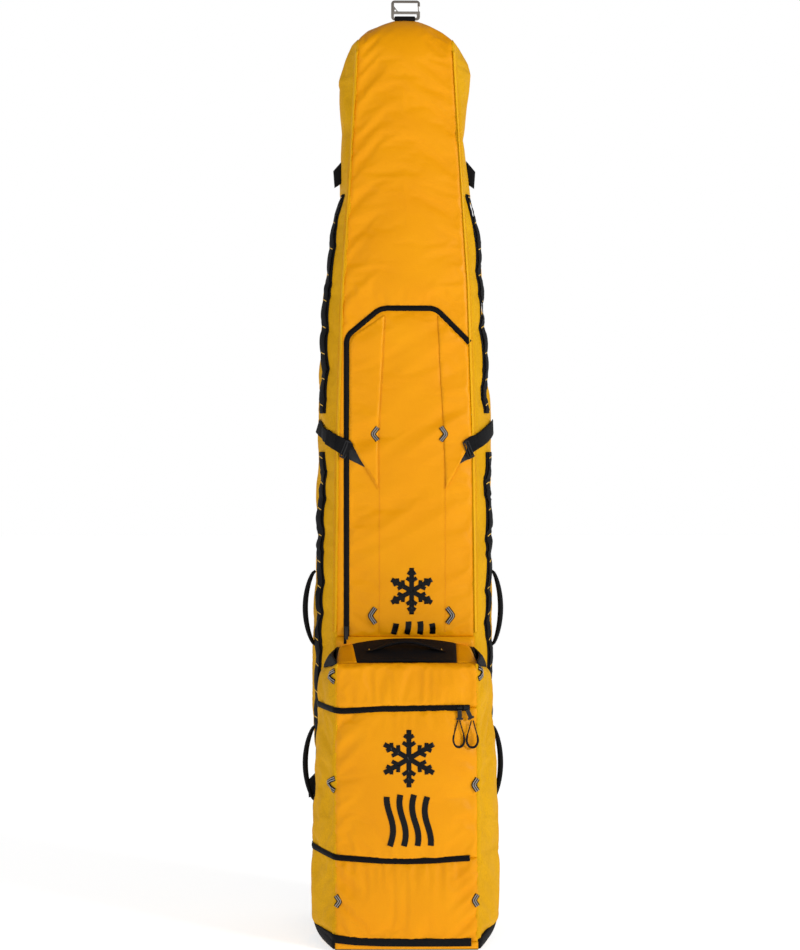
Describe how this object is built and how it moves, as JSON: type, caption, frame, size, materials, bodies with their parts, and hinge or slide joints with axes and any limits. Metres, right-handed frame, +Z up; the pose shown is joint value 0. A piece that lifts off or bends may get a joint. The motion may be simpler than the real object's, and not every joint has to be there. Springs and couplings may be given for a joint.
{
  "type": "wheeled ski bag",
  "caption": "Upright wheeled ski bag with a zipped flap over the ski bay, a zipped gear compartment on its lower front, side straps and handles, and a hook on top.",
  "frame": {"origin": "middle of the moulded base's underside, on the floor", "axes": "+Z up the bag, from its base to its hook; -Y out of its front, where the flap and the gear compartment are; +X to the right when facing the front"},
  "size_m": [0.402, 0.3628, 1.885],
  "materials": {
    "orange_laminate": "satin",
    "yellow_ballistic": "matte",
    "black_webbing": "matte",
    "black_fabric": "matte",
    "zip_black": "matte",
    "mesh_grey": "matte",
    "reflective_grey": "satin",
    "cord_black": "matte",
    "plastic_black": "matte",
    "plastic_base": "matte",
    "plastic_sheet": "satin",
    "plastic_hub": "satin",
    "tyre": "matte",
    "steel_hook": "satin",
    "steel_plain": "satin"
  },
  "bodies": {
    "bag": {"axles": "steel_plain", "back_panel": "black_fabric", "bag_zip_tape": "zip_black", "base_tray": "plastic_base", "crown": "yellow_ballistic", "daisy_chains": "black_webbing", "frame_sheet": "plastic_sheet", "front_hood": "orange_laminate", "front_wall_lower": "orange_laminate", "gear_bottom": "black_fabric", "gear_front_panels": "orange_laminate", "gear_loops": "reflective_grey", "gear_side_left": "yellow_ballistic", "gear_side_right": "yellow_ballistic", "gear_top_panel": "black_fabric", "gear_zip_tape": "zip_black", "rail_screws": "steel_plain", "side_panel_left": "yellow_ballistic", "side_panel_right": "yellow_ballistic", "side_tabs": "black_webbing", "ski_buckle_sockets": "plastic_black", "ski_buckle_tongues": "plastic_black", "ski_straps": "black_webbing", "skid_rails": "plastic_base", "strap_webbing_left": "black_webbing", "strap_webbing_right": "black_webbing", "top_webbing": "black_webbing", "wheel_housings": "plastic_base"},
    "wheel_left": {"tyre_left": "tyre", "hub_left": "plastic_hub", "bearings_left": "steel_plain"},
    "wheel_right": {"tyre_right": "tyre", "hub_right": "plastic_hub", "bearings_right": "steel_plain"},
    "hook": {"hook_frame": "steel_hook"},
    "gate": {"hook_gate": "steel_hook"},
    "handle_left_upper": {"handle_left_upper": "black_webbing"},
    "handle_left_lower": {"handle_left_lower": "black_webbing"},
    "handle_right_upper": {"handle_right_upper": "black_webbing"},
    "handle_right_lower": {"handle_right_lower": "black_webbing"},
    "gear_handle": {"gear_handle": "black_fabric"},
    "flap": {"flap_panel": "orange_laminate", "flap_zip_tape": "zip_black", "flap_wings": "orange_laminate", "strap_gussets": "mesh_grey", "ladder_locks": "plastic_black", "flap_loops": "reflective_grey"},
    "door": {"door_front": "orange_laminate", "door_side": "yellow_ballistic", "door_zip_tape": "zip_black", "door_loops": "reflective_grey"},
    "slider_a": {"gear_slider_a": "plastic_black"},
    "pull_a": {"gear_pull_a": "plastic_black", "pull_cord_a": "cord_black"},
    "slider_b": {"gear_slider_b": "plastic_black"},
    "pull_b": {"gear_pull_b": "plastic_black", "pull_cord_b": "cord_black"},
    "main_slider": {"main_slider": "plastic_black"},
    "main_pull": {"main_pull": "plastic_black"}
  },
  "joints": [
    {"name": "wheel_left_spin", "type": "hinge", "parent": "bag", "child": "wheel_left", "pos_m": [-0.138, 0.072, 0.045], "axis": [1, 0, 0], "continuous": true},
    {"name": "wheel_right_spin", "type": "hinge", "parent": "bag", "child": "wheel_right", "pos_m": [0.138, 0.072, 0.045], "axis": [1, 0, 0], "continuous": true},
    {"name": "hook_swing", "type": "hinge", "parent": "bag", "child": "hook", "pos_m": [0, 0, 1.8472], "axis": [1, 0, 0], "range_deg": [-80, 80]},
    {"name": "gate_open", "type": "hinge", "parent": "hook", "child": "gate", "pos_m": [0.028, 0, 1.8634], "axis": [0, 1, 0], "range_deg": [-25, 0]},
    {"name": "gear_handle_tilt", "type": "hinge", "parent": "bag", "child": "gear_handle", "pos_m": [0, -0.16, 0.5725], "axis": [1, 0, 0], "range_deg": [-25, 45]},
    {"name": "flap_open", "type": "hinge", "parent": "bag", "child": "flap", "pos_m": [0.1405, -0.085, 0.592], "axis": [-0.0128, 0, 0.9999], "range_deg": [0, 105]},
    {"name": "door_open", "type": "hinge", "parent": "bag", "child": "door", "pos_m": [0.138, -0.2353, 0.324], "axis": [0, 0, 1], "range_deg": [0, 110]},
    {"name": "slider_a_slide", "type": "slide", "parent": "door", "child": "slider_a", "axis": [1, 0, 0], "range_m": [-0.22, 0]},
    {"name": "pull_a_tilt", "type": "hinge", "parent": "slider_a", "child": "pull_a", "pos_m": [0.1015, -0.2443, 0.468], "axis": [1, 0, 0], "range_deg": [-90, 0]},
    {"name": "slider_b_slide", "type": "slide", "parent": "door", "child": "slider_b", "axis": [1, 0, 0], "range_m": [-0.0005, 0.001]},
    {"name": "pull_b_tilt", "type": "hinge", "parent": "slider_b", "child": "pull_b", "pos_m": [0.1145, -0.2443, 0.468], "axis": [0.9135, 0, 0.4067], "range_deg": [-90, 0]},
    {"name": "main_slider_slide", "type": "slide", "parent": "flap", "child": "main_slider", "axis": [0, 0, 1], "range_m": [0, 0.31]},
    {"name": "main_pull_tilt", "type": "hinge", "parent": "main_slider", "child": "main_pull", "pos_m": [-0.118, -0.0924, 0.6072], "axis": [1, 0, 0], "range_deg": [-90, 0]},
    {"name": "handle_left_upper_swing", "type": "hinge", "parent": "bag", "child": "handle_left_upper", "pos_m": [-0.188, -0.012, 0.6445], "axis": [0, 0, 1], "range_deg": [-40, 40]},
    {"name": "handle_left_lower_swing", "type": "hinge", "parent": "bag", "child": "handle_left_lower", "pos_m": [-0.188, -0.012, 0.3285], "axis": [0, 0, 1], "range_deg": [-40, 40]},
    {"name": "handle_right_upper_swing", "type": "hinge", "parent": "bag", "child": "handle_right_upper", "pos_m": [0.188, -0.012, 0.6445], "axis": [0, 0, 1], "range_deg": [-40, 40]},
    {"name": "handle_right_lower_swing", "type": "hinge", "parent": "bag", "child": "handle_right_lower", "pos_m": [0.188, -0.012, 0.3285], "axis": [0, 0, 1], "range_deg": [-40, 40]}
  ]
}
